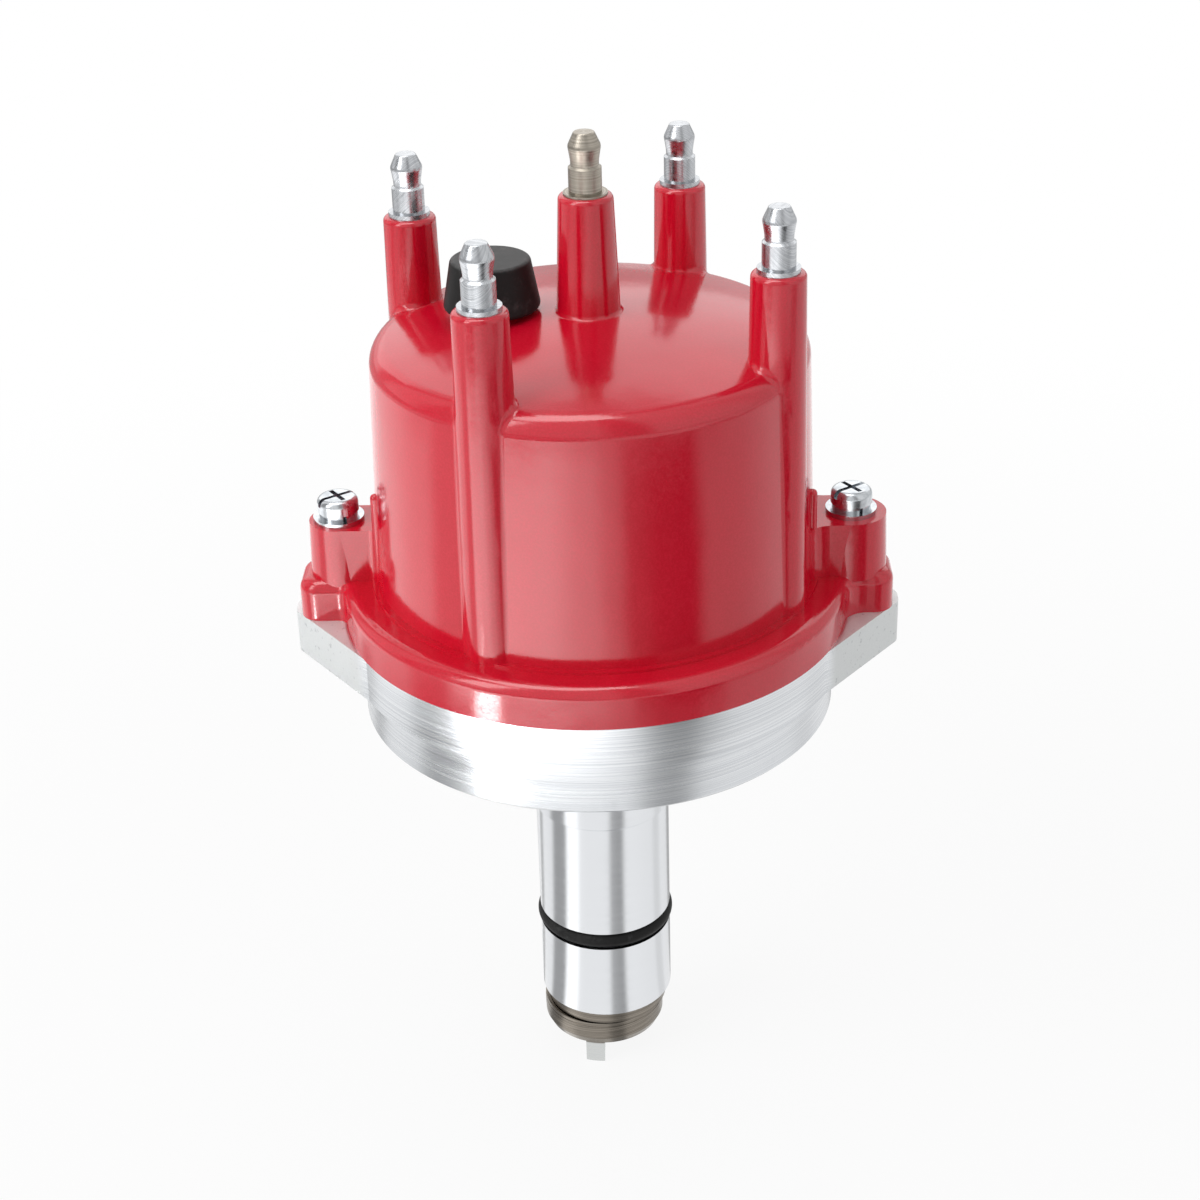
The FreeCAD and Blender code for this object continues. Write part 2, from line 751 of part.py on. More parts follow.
def build_weights():
    for letter, turn_by in (("a", "0"), ("b", "180")):
        ring = solid_cylinder("weight_ring_" + letter, "weight_outer", "weight_thick", z=WEIGHTS)
        ring.setExpression("Angle", bound("weight_end - weight_start"))
        stand(ring, z=WEIGHTS, angle="weight_start + " + turn_by)
        inner = solid_cylinder("weight_inner_" + letter, "weight_inner", "weight_thick", z=WEIGHTS)
        x, y = polar("pivot_pitch", turn_by)
        bore = solid_cylinder("weight_bore_" + letter, "pivot_radius + running_gap", "weight_thick", x, y, WEIGHTS)
        shape = cut("weight_blank_" + letter, ring, fuse("weight_cuts_" + letter, [inner, bore]))
        x, y = polar("stud_pitch", "stud_angle + " + turn_by)
        stud = solid_cylinder("weight_stud_" + letter, "stud_radius", "weight_thick + stud_height", x, y, WEIGHTS)
        x, y = polar("post_pitch", "tail_angle + " + turn_by)
        tail = solid_cylinder("weight_tail_" + letter, "post_radius", "weight_thick + post_height", x, y, WEIGHTS)
        fuse("advance_weight_" + letter, [shape, stud, tail])
    clips = []
    for turn_by in ("0", "180"):
        x, y = polar("pivot_pitch", turn_by)
        level = WEIGHTS_TOP + " + seat_gap"
        disc = solid_cylinder("clip_disc_" + turn_by, "clip_outer", "clip_thick", x, y, level)
        hole = solid_cylinder("clip_hole_" + turn_by, "pivot_radius", "clip_thick", x, y, level)
        clips.append(cut("clip_" + turn_by, disc, hole))
    fuse("weight_clips", clips)


def build_sleeve():
    """The sleeve carries the yoke, whose slots follow the studs of the weights."""
    tube = turned_piece("sleeve_tube", [
        ("spindle_radius + running_gap", SLEEVE_FOOT),
        ("sleeve_radius", SLEEVE_FOOT),
        ("sleeve_radius", YOKE),
        ("yoke_hub", YOKE),
        ("yoke_hub", YOKE + " + yoke_thick"),
        ("sleeve_radius", YOKE + " + yoke_thick"),
        ("sleeve_radius", SLEEVE_TOP),
        ("spindle_radius + running_gap", SLEEVE_TOP),
    ])
    pieces = [tube]
    slots = []
    pivot = Vector(number("pivot_pitch"), 0, 0)
    stud = Vector(number(polar("stud_pitch", "stud_angle")[0]), number(polar("stud_pitch", "stud_angle")[1]), 0)
    swing = number("advance_range")
    out = pivot + FreeCAD.Rotation(Vector(0, 0, 1), -swing).multVec(stud - pivot)
    out = FreeCAD.Rotation(Vector(0, 0, 1), -swing).multVec(out)
    run = out - stud
    level = number(YOKE)
    thick = number("yoke_thick")
    for turn_by in (0, 180):
        spin = FreeCAD.Rotation(Vector(0, 0, 1), turn_by)
        for group, width, tag in ((pieces, "stud_radius + slot_gap + slot_wall", "arm"),
                                  (slots, "stud_radius + slot_gap", "slot")):
            half = number(width)
            side = Vector(-run.y, run.x, 0).normalize() * half
            along = Vector(run).normalize() * half
            inner = Vector(0, 0, 0) if tag == "arm" else stud
            corners = [inner - side, out - side, out + side, inner + side]
            face = Part.Face(Part.makePolygon(corners + [corners[0]]))
            shape = face.extrude(Vector(0, 0, thick))
            for end in (stud, out):
                shape = shape.fuse(Part.makeCylinder(half, thick, end))
            item = doc.addObject("Part::Feature", "yoke_%s_%d" % (tag, turn_by))
            item.Shape = shape.removeSplitter()
            item.Placement = FreeCAD.Placement(Vector(0, 0, level), spin)
            group.append(item)
    whole = fuse("sleeve_with_arms", pieces)
    core = solid_cylinder("sleeve_core", "spindle_radius + running_gap", "sleeve_height", z=SLEEVE_FOOT)
    cut("advance_sleeve", whole, fuse("yoke_slots", slots + [core]))


def spring_shape(radius, wire, length, turns):
    """A helical spring along Z from the origin, with wire of a round section."""
    helix = Part.makeHelix(length / turns, length, radius)
    section = Part.Wire(Part.makeCircle(wire, Vector(radius, 0, 0), Vector(0, 1, 0)))
    return Part.Wire(helix).makePipeShell([section], True, True)


def build_advance_springs():
    gap = number("post_radius + 2 * spring_wire")
    for letter, turn_by in (("a", "0"), ("b", "180")):
        ends = []
        for angle in ("post_angle", "tail_angle"):
            x, y = polar("post_pitch", angle + " + " + turn_by)
            ends.append(Vector(number(x), number(y), number(WEIGHTS_TOP + " + post_height / 2")))
        span = ends[1] - ends[0]
        clear = span.Length - 2 * gap
        item = doc.addObject("Part::Feature", "advance_spring_" + letter)
        item.Shape = spring_shape(number("spring_radius"), number("spring_wire"), clear, number("spring_turns"))
        item.Placement = FreeCAD.Placement(ends[0] + Vector(span).normalize() * gap,
                                           FreeCAD.Rotation(Vector(0, 0, 1), span))


# Magnetic trigger: reluctor on the sleeve, pickup and module on a plate of the housing
def build_trigger():
    plate = turned_piece("pickup_plate_blank", [
        ("pickup_plate_hole", PICKUP_SEAT),
        ("pickup_plate_radius", PICKUP_SEAT),
        ("pickup_plate_radius", PICKUP_TOP),
        ("pickup_plate_hole", PICKUP_TOP),
    ])
    level = "joint_height + reluctor_base"
    hub = solid_cylinder("reluctor_hub_blank", "reluctor_hub", "reluctor_thick", z=level)
    teeth = []
    for turn_by in ("0", "90"):
        bar = solid_box("reluctor_bar_" + turn_by, "2 * reluctor_reach", "reluctor_tooth", "reluctor_thick",
                        "0", "0", level)
        bar.Placement.Rotation = FreeCAD.Rotation(Vector(0, 0, 1), number(turn_by))
        corner = {"0": ("0 - reluctor_reach", "0 - reluctor_tooth / 2"),
                  "90": ("reluctor_tooth / 2", "0 - reluctor_reach")}[turn_by]
        bar.setExpression("Placement.Base.x", bound(corner[0]))
        bar.setExpression("Placement.Base.y", bound(corner[1]))
        teeth.append(bar)
    rim = solid_cylinder("reluctor_rim", "reluctor_reach", "reluctor_thick", z=level)
    bore = solid_cylinder("reluctor_bore", "sleeve_radius", "reluctor_thick", z=level)
    star = common("reluctor_star", [fuse("reluctor_cross", [hub] + teeth), rim])
    cut("reluctor", star, bore)
    inner = "reluctor_reach + air_gap"
    sensor = solid_box("pickup_block", "pickup_length", "pickup_width", "pickup_height",
                       inner, "0 - pickup_width / 2", PICKUP_TOP)
    foot = solid_box("pickup_foot", "pickup_length", "pickup_width + 2 * foot_lug", "foot_thick",
                     inner, "0 - pickup_width / 2 - foot_lug", PICKUP_TOP)
    cuts = [solid_cylinder("pickup_sweep", inner, "pickup_height", z=PICKUP_TOP)]
    screws = []
    x = inner + " + pickup_length / 2"
    for tag, side in (("a", "0 + "), ("b", "0 - ")):
        y = "%s(pickup_width + foot_lug) / 2" % side
        under = PICKUP_SEAT + " - small_screw_proud"
        grip = "small_screw_proud + pickup_plate_thick + foot_thick"
        cuts.append(solid_cylinder("pickup_hole_" + tag, "small_screw", grip, x, y, under))
        shank = solid_cylinder("pickup_shank_" + tag, "small_screw", grip, x, y, under)
        head = solid_cylinder("pickup_head_" + tag, "small_head", "small_head_height", x, y,
                              PICKUP_TOP + " + foot_thick")
        screws.append(fuse("pickup_screw_" + tag, [shank, head]))
    cut("pickup_sensor", fuse("pickup_blank", [sensor, foot]), fuse("pickup_cuts", cuts))
    fuse("pickup_screws", screws)
    holes = [solid_cylinder("plate_hole_" + tag, "small_screw", "pickup_plate_thick", x,
                            "%s(pickup_width + foot_lug) / 2" % side, PICKUP_SEAT)
             for tag, side in (("a", "0 + "), ("b", "0 - "))]
    cut("pickup_plate", plate, fuse("plate_holes", holes))
    module = solid_box("module_block", "module_length", "module_width", "module_height",
                       "0 - module_reach", "0 - module_width / 2", PICKUP_TOP)
    cover = solid_cylinder("module_rim", "module_rim_radius", "module_height", z=PICKUP_TOP)
    common("ignition_module", [module, cover])


# Rotor on the sleeve's top, with its blade and contact button
def build_rotor():
    foot = "joint_height + rotor_base"
    hub = turned_piece("rotor_hub_turned", [
        ("sleeve_radius", foot),
        ("rotor_hub", foot),
        ("rotor_hub", ROTOR_TOP + " - rotor_disc_thick"),
        ("rotor_disc_radius", ROTOR_TOP + " - rotor_disc_thick"),
        ("rotor_disc_radius", ROTOR_TOP),
        ("0", ROTOR_TOP),
        ("0", SLEEVE_TOP + " + lay_gap"),
        ("sleeve_radius", SLEEVE_TOP + " + lay_gap"),
    ])
    arm = solid_box("rotor_arm", "rotor_arm_reach", "rotor_arm_width", "rotor_disc_thick",
                    "0", "0 - rotor_arm_width / 2", ROTOR_TOP + " - rotor_disc_thick")
    fuse("rotor", [hub, arm])
    tip = "tower_pitch - rod_radius - spark_gap"
    bar = solid_box("blade_bar", tip, "blade_width", "blade_thick", "0", "0 - blade_width / 2", ROTOR_TOP)
    boss = solid_cylinder("blade_boss", "blade_width / 2", "blade_thick", z=ROTOR_TOP)
    rim = solid_cylinder("blade_rim", tip, "blade_thick", z=ROTOR_TOP)
    common("rotor_blade", [fuse("blade_blank", [bar, boss]), rim])
    turned_piece("rotor_contact", [
        ("0", BLADE_TOP),
        ("contact_radius", BLADE_TOP),
        ("contact_radius", BLADE_TOP + " + contact_height - contact_bevel"),
        ("contact_radius - contact_bevel", BLADE_TOP + " + contact_height"),
        ("0", BLADE_TOP + " + contact_height"),
    ])


# Distributor cap: flange, drafted wall, ears with screw bosses, towers and vent stub
TOWERS = ["tower_angle + %d" % quarter for quarter in (-90, 0, 90, 180)]


def build_cap_shell():
    """The turned wall, with its spigot, cavity and brush guide."""
    body = new_body("cap_shell")
    top = CAP_TOP
    shell = turn(body, "cap_turned", [
        ("step_radius", "joint_height"),
        ("step_radius", "joint_height + flange_height + step_height"),
        ("wall_foot_radius", "joint_height + flange_height + step_height"),
        ("wall_head_radius", top),
        ("0", top),
        ("0", ROOF),
        ("brush_guide_radius", ROOF),
        ("brush_guide_radius", ROOF + " - brush_boss_length"),
        ("brush_boss_radius", ROOF + " - brush_boss_length"),
        ("brush_boss_radius", ROOF),
        ("cavity_head_radius", ROOF),
        ("cavity_foot_radius", "joint_height + cavity_flare"),
        ("spigot_inner", "joint_height"),
        ("spigot_inner", "joint_height - spigot_depth"),
        ("recess_radius - seat_gap", "joint_height - spigot_depth"),
        ("recess_radius - seat_gap", "joint_height"),
    ])
    rim = ring_edges(shell.Shape, number("wall_head_radius"), number(top))
    soften(body, "rim_rounding", shell, rim, "rim_round")
    return body


def build_flange():
    """The flange and its two ear blocks, whose corners sweep into the rim."""
    body = new_body("cap_flange")
    disc = new_sketch(body, "flange_circle", height="joint_height")
    draw_circle(disc, "0", "0", "flange_radius")
    draw_circle(disc, "0", "0", "cavity_foot_radius - merge")
    pad(body, "flange_disc", disc, "flange_height")
    outline = new_sketch(body, "ear_block_outline", height="joint_height")
    for side in ("0 - ", "0 + "):
        inner = side + "wall_foot_radius"
        outer = side + "block_reach"
        draw_outline(outline, [
            (inner, "0 - block_half_width"),
            (outer, "0 - block_half_width"),
            (outer, "block_half_width"),
            (inner, "block_half_width"),
        ])
    shape = pad(body, "ear_blocks", outline, "flange_height")
    reach = number("block_reach")
    root = math.sqrt(number("flange_radius") ** 2 - number("block_half_width") ** 2)
    spare = "(block_reach - flange_radius)"
    corner = "min(block_corner; 0.45 * " + spare + ")"
    for tag, x, radius in (("left_tip", -reach, corner), ("right_tip", reach, corner),
                           ("left_root", -root, "min(left_blend; 0.55 * " + spare + ")"),
                           ("right_root", root, "min(right_blend; 0.55 * " + spare + ")")):
        shape = soften(body, tag, shape, upright_edges(shape.Shape, x), radius)
    level = number("joint_height + flange_height")
    loop = ["Edge%d" % i for i, edge in enumerate(shape.Shape.Edges, start=1)
            if all(abs(end.Point.z - level) < 1e-6 for end in edge.Vertexes)]
    soften(body, "ledge_rounding", shape, loop, "flange_round")
    return body


def build_ears():
    """Two screw bosses, joined to the wall by webs; the right one is the stouter."""
    pieces = []
    for side, tag, radius in (("0 - ", "left", "left_boss_radius"), ("0 + ", "right", "right_boss_radius")):
        rise = "boss_top - flange_height + merge"
        level = "joint_height + flange_height - merge"
        pieces.append(solid_cone(tag + "_boss", radius + " + boss_draft", radius, rise, side + "screw_pitch",
                                 "0", level))
        near = {"left": "0 - screw_pitch", "right": "wall_head_radius - 2 * merge"}[tag]
        pieces.append(solid_box(tag + "_boss_web", "screw_pitch - wall_head_radius + 2 * merge", "2 * " + radius,
                                rise, near, "0 - " + radius, level))
    return pieces


def build_tower(name, angle, foot, head, top, bottom):
    """A drafted tower; an outer one runs down the wall to the flange as a rib."""
    shape = solid_cone(name + "_cone", foot, head, top + " - (" + bottom + ")")
    x, y = polar("tower_pitch", angle) if angle else ("0", "0")
    stand(shape, x, y, "joint_height + " + bottom)
    doc.recompute()
    rows = [(i, number("tower_round")) for i, edge in enumerate(shape.Shape.Edges, start=1)
            if edge.Curve.TypeId == "Part::GeomCircle" and abs(edge.Curve.Radius - number(head)) < 1e-3]
    return round_edges(name, shape, rows)


def rib_edges(shape):
    """Rows for the long edges where the towers' ribs meet the wall."""
    rows = []
    for angle in TOWERS:
        x, y = [number(text) for text in polar("tower_pitch", angle)]
        for i, edge in enumerate(shape.Edges, start=1):
            places = edge_places(edge)
            if abs(places[0].z - places[-2].z) < number("cap_height / 2"):
                continue
            reaches = [math.hypot(place.x - x, place.y - y) for place in places]
            on_rib = number("tower_head_radius") < min(reaches) and max(reaches) < number("tower_foot_radius")
            if on_rib and min(math.hypot(place.x, place.y) for place in places) > number("cavity_foot_radius + merge"):
                rows.append((i, number("rib_blend")))
    return rows


def ear_edges(shape):
    """Rows for the upright edges where the webs meet the wall."""
    rows = []
    for i, edge in enumerate(shape.Edges, start=1):
        places = edge_places(edge)
        near = min(abs(place.x) for place in places) > number("cavity_foot_radius + merge")
        reaches = [math.hypot(place.x, place.y) for place in places]
        at_wall = max(reaches) < number("wall_foot_radius") + 1e-3
        side = "left" if places[0].x < 0 else "right"
        half = number(side + "_boss_radius")
        on_web = all(abs(abs(place.y) - half) < 1e-3 for place in places)
        tall = abs(places[0].z - places[-2].z) > number("(boss_top - flange_height) / 2")
        if near and at_wall and on_web and tall:
            rows.append((i, number(side + "_web_blend")))
    return rows


def build_beads():
    """A slim upright bead at the front corner of each web, rising above it on the wall."""
    beads = []
    for side, tag in (("0 - ", "left"), ("0 + ", "right")):
        y = "0 - (%s_boss_radius + bead_radius / 2)" % tag
        x = side + "(wall_head_radius + wall_draft / 2 - bead_radius / 4)"
        beads.append(solid_cylinder(tag + "_bead", "bead_radius", "boss_top - flange_height + bead_rise", x, y,
                                    "joint_height + flange_height"))
        tip = doc.addObject("Part::Sphere", tag + "_bead_tip")
        tip.setExpression("Radius", bound("bead_radius"))
        beads.append(stand(tip, x, y, BOSS_TOP + " + bead_rise"))
    return beads


def build_cap():
    solids = [build_cap_shell(), build_flange()] + build_ears()
    cuts = []
    for i, angle in enumerate(TOWERS, start=1):
        solids.append(build_tower("tower_%d" % i, angle, "tower_foot_radius", "tower_head_radius",
                                  "tower_top", "flange_height - merge"))
        x, y = polar("tower_pitch", angle)
        cuts.append(solid_cylinder("tower_bore_%d" % i, "rod_radius", "tower_top - rod_bottom + merge", x, y,
                                   "joint_height + rod_bottom"))
    solids.append(build_tower("centre_tower", None, "centre_foot_radius", "centre_head_radius",
                              "centre_top", "cap_height - roof_thick + merge"))
    cuts.append(solid_cylinder("centre_bore", "rod_radius", "centre_top - cap_height + roof_thick + merge", z=ROOF))
    solids.append(solid_cylinder("vent_stub", "stub_radius", "stub_height + roof_thick - merge", "vent_x", "vent_y",
                                 ROOF + " + merge"))
    cuts.append(solid_cylinder("vent_bore", "vent_hole", "stub_height + roof_thick + 2 * merge", "vent_x", "vent_y",
                               ROOF + " - merge"))
    for side in ("0 - ", "0 + "):
        cuts.append(solid_cylinder("ear_hole_" + {"0 - ": "left", "0 + ": "right"}[side],
                                   "screw_radius + screw_hole_gap", "boss_top + merge",
                                   side + "screw_pitch", "0", "joint_height"))
    inside = turned_piece("cap_inside", [
        ("brush_boss_radius", ROOF + " - merge"),
        ("cavity_head_radius", ROOF + " - merge"),
        ("cavity_foot_radius", "joint_height + cavity_flare"),
        ("spigot_inner", "joint_height"),
        ("brush_boss_radius", "joint_height"),
    ])
    cuts.append(inside)
    shape = fuse("cap_blank", solids)
    doc.recompute()
    shape = round_edges("rib_blends", shape, rib_edges(shape.Shape))
    shape = round_edges("web_blends", shape, ear_edges(shape.Shape))
    cut("distributor_cap", fuse("cap_with_beads", [shape] + build_beads()), fuse("cap_cuts", cuts))


# Terminals: turned contacts with a rod moulded into the tower
def terminal(label, rod_low, top, collar, collar_thick):
    foot = "joint_height + " + top
    base = foot + " + " + collar_thick
    body = new_body(label)
    shape = turn(body, label + "_turned", [
        ("0", rod_low),
        ("rod_radius", rod_low),
        ("rod_radius", foot),
        (collar, foot),
        (collar, base),
        ("terminal_radius", base),
        ("terminal_radius", base + " + shoulder_height"),
        ("terminal_neck", base + " + shoulder_height + neck_bevel"),
        ("terminal_neck", base + " + neck_height"),
        ("terminal_radius", base + " + bulb_height"),
        ("terminal_tip", base + " + terminal_height"),
        ("0", base + " + terminal_height"),
    ])
    for part, radius, height in (("neck", "terminal_neck", "neck_height"),
                                 ("bulb", "terminal_radius", "bulb_height"),
                                 ("tip", "terminal_tip", "terminal_height")):
        ring = ring_edges(shape.Shape, number(radius), number(base + " + " + height))
        shape = soften(body, label + "_" + part, shape, ring, part + "_round")
    return body


def build_terminals():
    for i, angle in enumerate(TOWERS, start=1):
        piece = terminal("terminal_%d" % i, "joint_height + rod_bottom", "tower_top", "collar_radius",
                         "collar_thick")
        stand(piece, *polar("tower_pitch", angle))
    terminal("centre_terminal", ROOF, "centre_top", "centre_collar_radius", "centre_collar_thick")


def build_brush():
    turned_piece("carbon_brush", [
        ("0", BRUSH_BOTTOM),
        ("brush_radius - brush_bevel", BRUSH_BOTTOM),
        ("brush_radius", BRUSH_BOTTOM + " + brush_bevel"),
        ("brush_radius", BRUSH_BOTTOM + " + brush_length"),
        ("0", BRUSH_BOTTOM + " + brush_length"),
    ])
    wire = number("brush_wire")
    low = number(BRUSH_BOTTOM + " + brush_length") + wire
    length = number(ROOF) - wire - low
    spring = doc.addObject("Part::Feature", "brush_spring")
    spring.Shape = spring_shape(number("brush_guide_radius - 3 * brush_wire"), wire, length, number("brush_turns"))
    spring.Placement = FreeCAD.Placement(Vector(0, 0, low), FreeCAD.Rotation())


def build_vent_cap():
    low = CAP_TOP + " + vent_cap_lift"
    top = low + " + vent_cap_height"
    stub_top = CAP_TOP + " + stub_height"
    body = new_body("vent_cap")
    shape = turn(body, "vent_cap_turned", [
        ("stub_radius", low),
        ("vent_cap_foot", low),
        ("vent_cap_head", top),
        ("0", top),
        ("0", stub_top),
        ("stub_radius", stub_top),
    ])
    rims = []
    for radius, height in (("vent_cap_foot", low), ("vent_cap_head", top)):
        rims += ring_edges(shape.Shape, number(radius), number(height))
    soften(body, "vent_cap_rounding", shape, rims, "vent_cap_round")
    stand(body, "vent_x", "vent_y")


# Cap screws: pan heads with a cross recess and a slot, each on a lock washer and a flat washer
def build_cap_screws():
    for side, tag in (("0 - ", "left"), ("0 + ", "right")):
        x = side + "screw_pitch"
        disc = turned_piece("flat_washer_" + tag, [
            ("screw_radius", BOSS_TOP),
            ("washer_disc_radius", BOSS_TOP),
            ("washer_disc_radius", BOSS_TOP + " + washer_disc_thick"),
            ("screw_radius", BOSS_TOP + " + washer_disc_thick"),
        ])
        stand(disc, x)
        level = BOSS_TOP + " + washer_disc_thick"
        ring = turned_piece("lock_ring_" + tag, [
            ("screw_radius", level),
            ("lock_radius", level),
            ("lock_radius", level + " + lock_thick"),
            ("screw_radius", level + " + lock_thick"),
        ])
        stand(ring, x)
        split = solid_box("lock_gap_" + tag, "lock_radius + merge", "lock_split", "lock_thick", x, "0", level)
        stand(split, x, "0", level, "lock_angle")
        cut("lock_washer_" + tag, ring, split)
        seat = level + " + lock_thick"
        top = seat + " + head_height"
        body = new_body("cap_screw_blank_" + tag)
        head = turn(body, "screw_turned_" + tag, [
            ("0", "joint_height - screw_grip"),
            ("screw_radius - screw_bevel", "joint_height - screw_grip"),
            ("screw_radius", "joint_height - screw_grip + screw_bevel"),
            ("screw_radius", seat),
            ("head_radius", seat),
            ("head_radius", top),
            ("0", top),
        ])
        soften(body, "head_rounding_" + tag, head, ring_edges(head.Shape, number("head_radius"), number(top)),
               "head_round")
        stand(body, x)
        recess = []
        for kind, half, angle in (("slot", "(head_radius + merge)", "recess_angle"),
                                  ("cross", "recess_span", "recess_angle + 90")):
            bar = solid_box("screw_%s_%s" % (kind, tag), "2 * " + half, "recess_slot", "recess_deep + merge",
                            "0", "0", "0")
            c = "cos(%s)" % angle
            s = "sin(%s)" % angle
            recess.append(stand(bar, "%s - %s * %s + recess_slot / 2 * %s" % (x, half, c, s),
                                "0 - %s * %s - recess_slot / 2 * %s" % (half, s, c),
                                top + " - recess_deep", angle))
        cut("cap_screw_" + tag, body, fuse("screw_recess_" + tag, recess))


build_housing()
build_oring()
build_grommet()
build_shaft()
build_bearings()
build_drive_end()
build_base_plate()
build_weights()
build_sleeve()
build_advance_springs()
build_trigger()
build_rotor()
build_cap()
build_terminals()
build_brush()
build_vent_cap()
build_cap_screws()
doc.recompute()

NODES = """
housing o_ring lead_grommet lower_bush bearing_outer_ring bearing_inner_ring bearing_balls bearing_cage
drive_shaft thrust_washer drive_pin drive_dog dog_retaining_ring
advance_base_plate weight_pivot_pins spring_posts weight_clips advance_weight_a advance_weight_b
advance_spring_a advance_spring_b advance_sleeve
reluctor pickup_plate pickup_sensor pickup_screws ignition_module rotor rotor_blade rotor_contact
distributor_cap terminal_1 terminal_2 terminal_3 terminal_4 centre_terminal carbon_brush brush_spring vent_cap
flat_washer_left flat_washer_right lock_washer_left lock_washer_right cap_screw_left cap_screw_right
""".split()

for item in doc.Objects:
    if "Invalid" in item.State or "Error" in item.State:
        raise RuntimeError("%s is not built: %s" % (item.Label, item.State))
os.makedirs("parts", exist_ok=True)
for node in NODES:
    piece = doc.getObjectsByLabel(node)[0]
    if piece.Shape.isNull() or not piece.Shape.isValid():
        raise RuntimeError("%s has no sound shape" % node)
for node in NODES:
    piece = doc.getObjectsByLabel(node)[0]
    piece.Shape.exportStep("parts/%s.step" % node)
    print("%-22s solids %d volume %.1f" % (node, len(piece.Shape.Solids), piece.Shape.Volume))
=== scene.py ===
import json
import math

import bpy
from mathutils import Matrix, Vector


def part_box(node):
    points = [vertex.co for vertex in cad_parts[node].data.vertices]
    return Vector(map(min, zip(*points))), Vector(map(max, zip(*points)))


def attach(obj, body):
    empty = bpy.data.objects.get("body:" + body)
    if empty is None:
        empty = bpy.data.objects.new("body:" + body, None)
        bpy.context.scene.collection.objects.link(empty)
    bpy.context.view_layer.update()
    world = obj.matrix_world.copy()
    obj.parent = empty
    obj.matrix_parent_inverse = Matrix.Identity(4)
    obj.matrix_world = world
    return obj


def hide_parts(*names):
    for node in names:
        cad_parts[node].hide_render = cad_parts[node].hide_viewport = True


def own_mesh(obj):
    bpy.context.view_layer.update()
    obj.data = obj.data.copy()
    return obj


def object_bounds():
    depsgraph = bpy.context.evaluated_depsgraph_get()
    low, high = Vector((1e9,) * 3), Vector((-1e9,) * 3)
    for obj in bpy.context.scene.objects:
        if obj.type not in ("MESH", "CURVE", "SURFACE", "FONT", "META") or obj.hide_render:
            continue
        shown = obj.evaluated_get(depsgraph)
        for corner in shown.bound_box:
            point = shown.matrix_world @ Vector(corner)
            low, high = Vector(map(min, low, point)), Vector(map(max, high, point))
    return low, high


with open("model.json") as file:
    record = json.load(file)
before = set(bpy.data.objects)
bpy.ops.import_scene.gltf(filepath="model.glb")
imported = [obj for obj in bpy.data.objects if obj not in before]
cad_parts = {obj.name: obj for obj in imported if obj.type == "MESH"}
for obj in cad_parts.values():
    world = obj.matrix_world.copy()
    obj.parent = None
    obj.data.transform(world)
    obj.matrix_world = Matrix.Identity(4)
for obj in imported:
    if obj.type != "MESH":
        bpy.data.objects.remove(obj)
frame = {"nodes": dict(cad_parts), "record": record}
NODES = frame["nodes"]
cad_low, cad_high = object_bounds()

# Lengths are in metres. Levels and radii that the finishes need are read from the frame.
MM = 0.001
FLOOR_LEVEL = cad_low.z - 0.2 * MM
PLATE_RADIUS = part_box("housing")[1].y
VENT_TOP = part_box("vent_cap")[1].z
DOG_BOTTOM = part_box("drive_dog")[0].z
TANG_DEPTH = 4.9 * MM

# Where one finish gives way to the next
TANG_BLEND = 0.4 * MM
SHANK_BLEND = (14.6 * MM, 15.2 * MM)
EAR_BLEND = (PLATE_RADIUS + 0.1 * MM, PLATE_RADIUS + 0.9 * MM)
DUST_BLEND = (VENT_TOP - 0.5 * MM, VENT_TOP - 0.1 * MM)
# How fast the lathe's rings change along their way round
RING_DRIFT = 5.0


def srgb(red, green, blue):
    """A colour given as it looks on a screen, from 0 to 255."""
    parts = []
    for value in (red, green, blue):
        share = value / 255
        parts.append(share / 12.92 if share <= 0.04045 else ((share + 0.055) / 1.055) ** 2.4)
    return (*parts, 1.0)


def grey(level):
    return (level, level, level, 1.0)


class Tree:
    """A node tree with short calls for adding nodes and feeding them."""

    def __init__(self, tree):
        self.nodes = tree.nodes
        self.links = tree.links

    def add(self, kind, feeds=None, **settings):
        node = self.nodes.new("ShaderNode" + kind)
        for key, value in settings.items():
            setattr(node, key, value)
        for key, value in (feeds or {}).items():
            self.feed(node.inputs[key], value)
        return node

    def feed(self, socket, value):
        if isinstance(value, bpy.types.NodeSocket):
            self.links.new(value, socket)
        else:
            socket.default_value = value

    def math(self, operation, first, second=0.0, third=0.0):
        return self.add("Math", {0: first, 1: second, 2: third}, operation=operation).outputs[0]

    def span(self, value, low, high, to_low=0.0, to_high=1.0, smooth=True):
        """Map a value from one range to another, held at its ends."""
        feeds = {0: value, 1: low, 2: high, 3: to_low, 4: to_high}
        kind = "SMOOTHSTEP" if smooth else "LINEAR"
        return self.add("MapRange", feeds, interpolation_type=kind).outputs[0]

    def length(self, place):
        return self.add("VectorMath", {0: place}, operation="LENGTH").outputs["Value"]

    def mix_shaders(self, share, first, second):
        return self.add("MixShader", {0: share, 1: first, 2: second}).outputs[0]


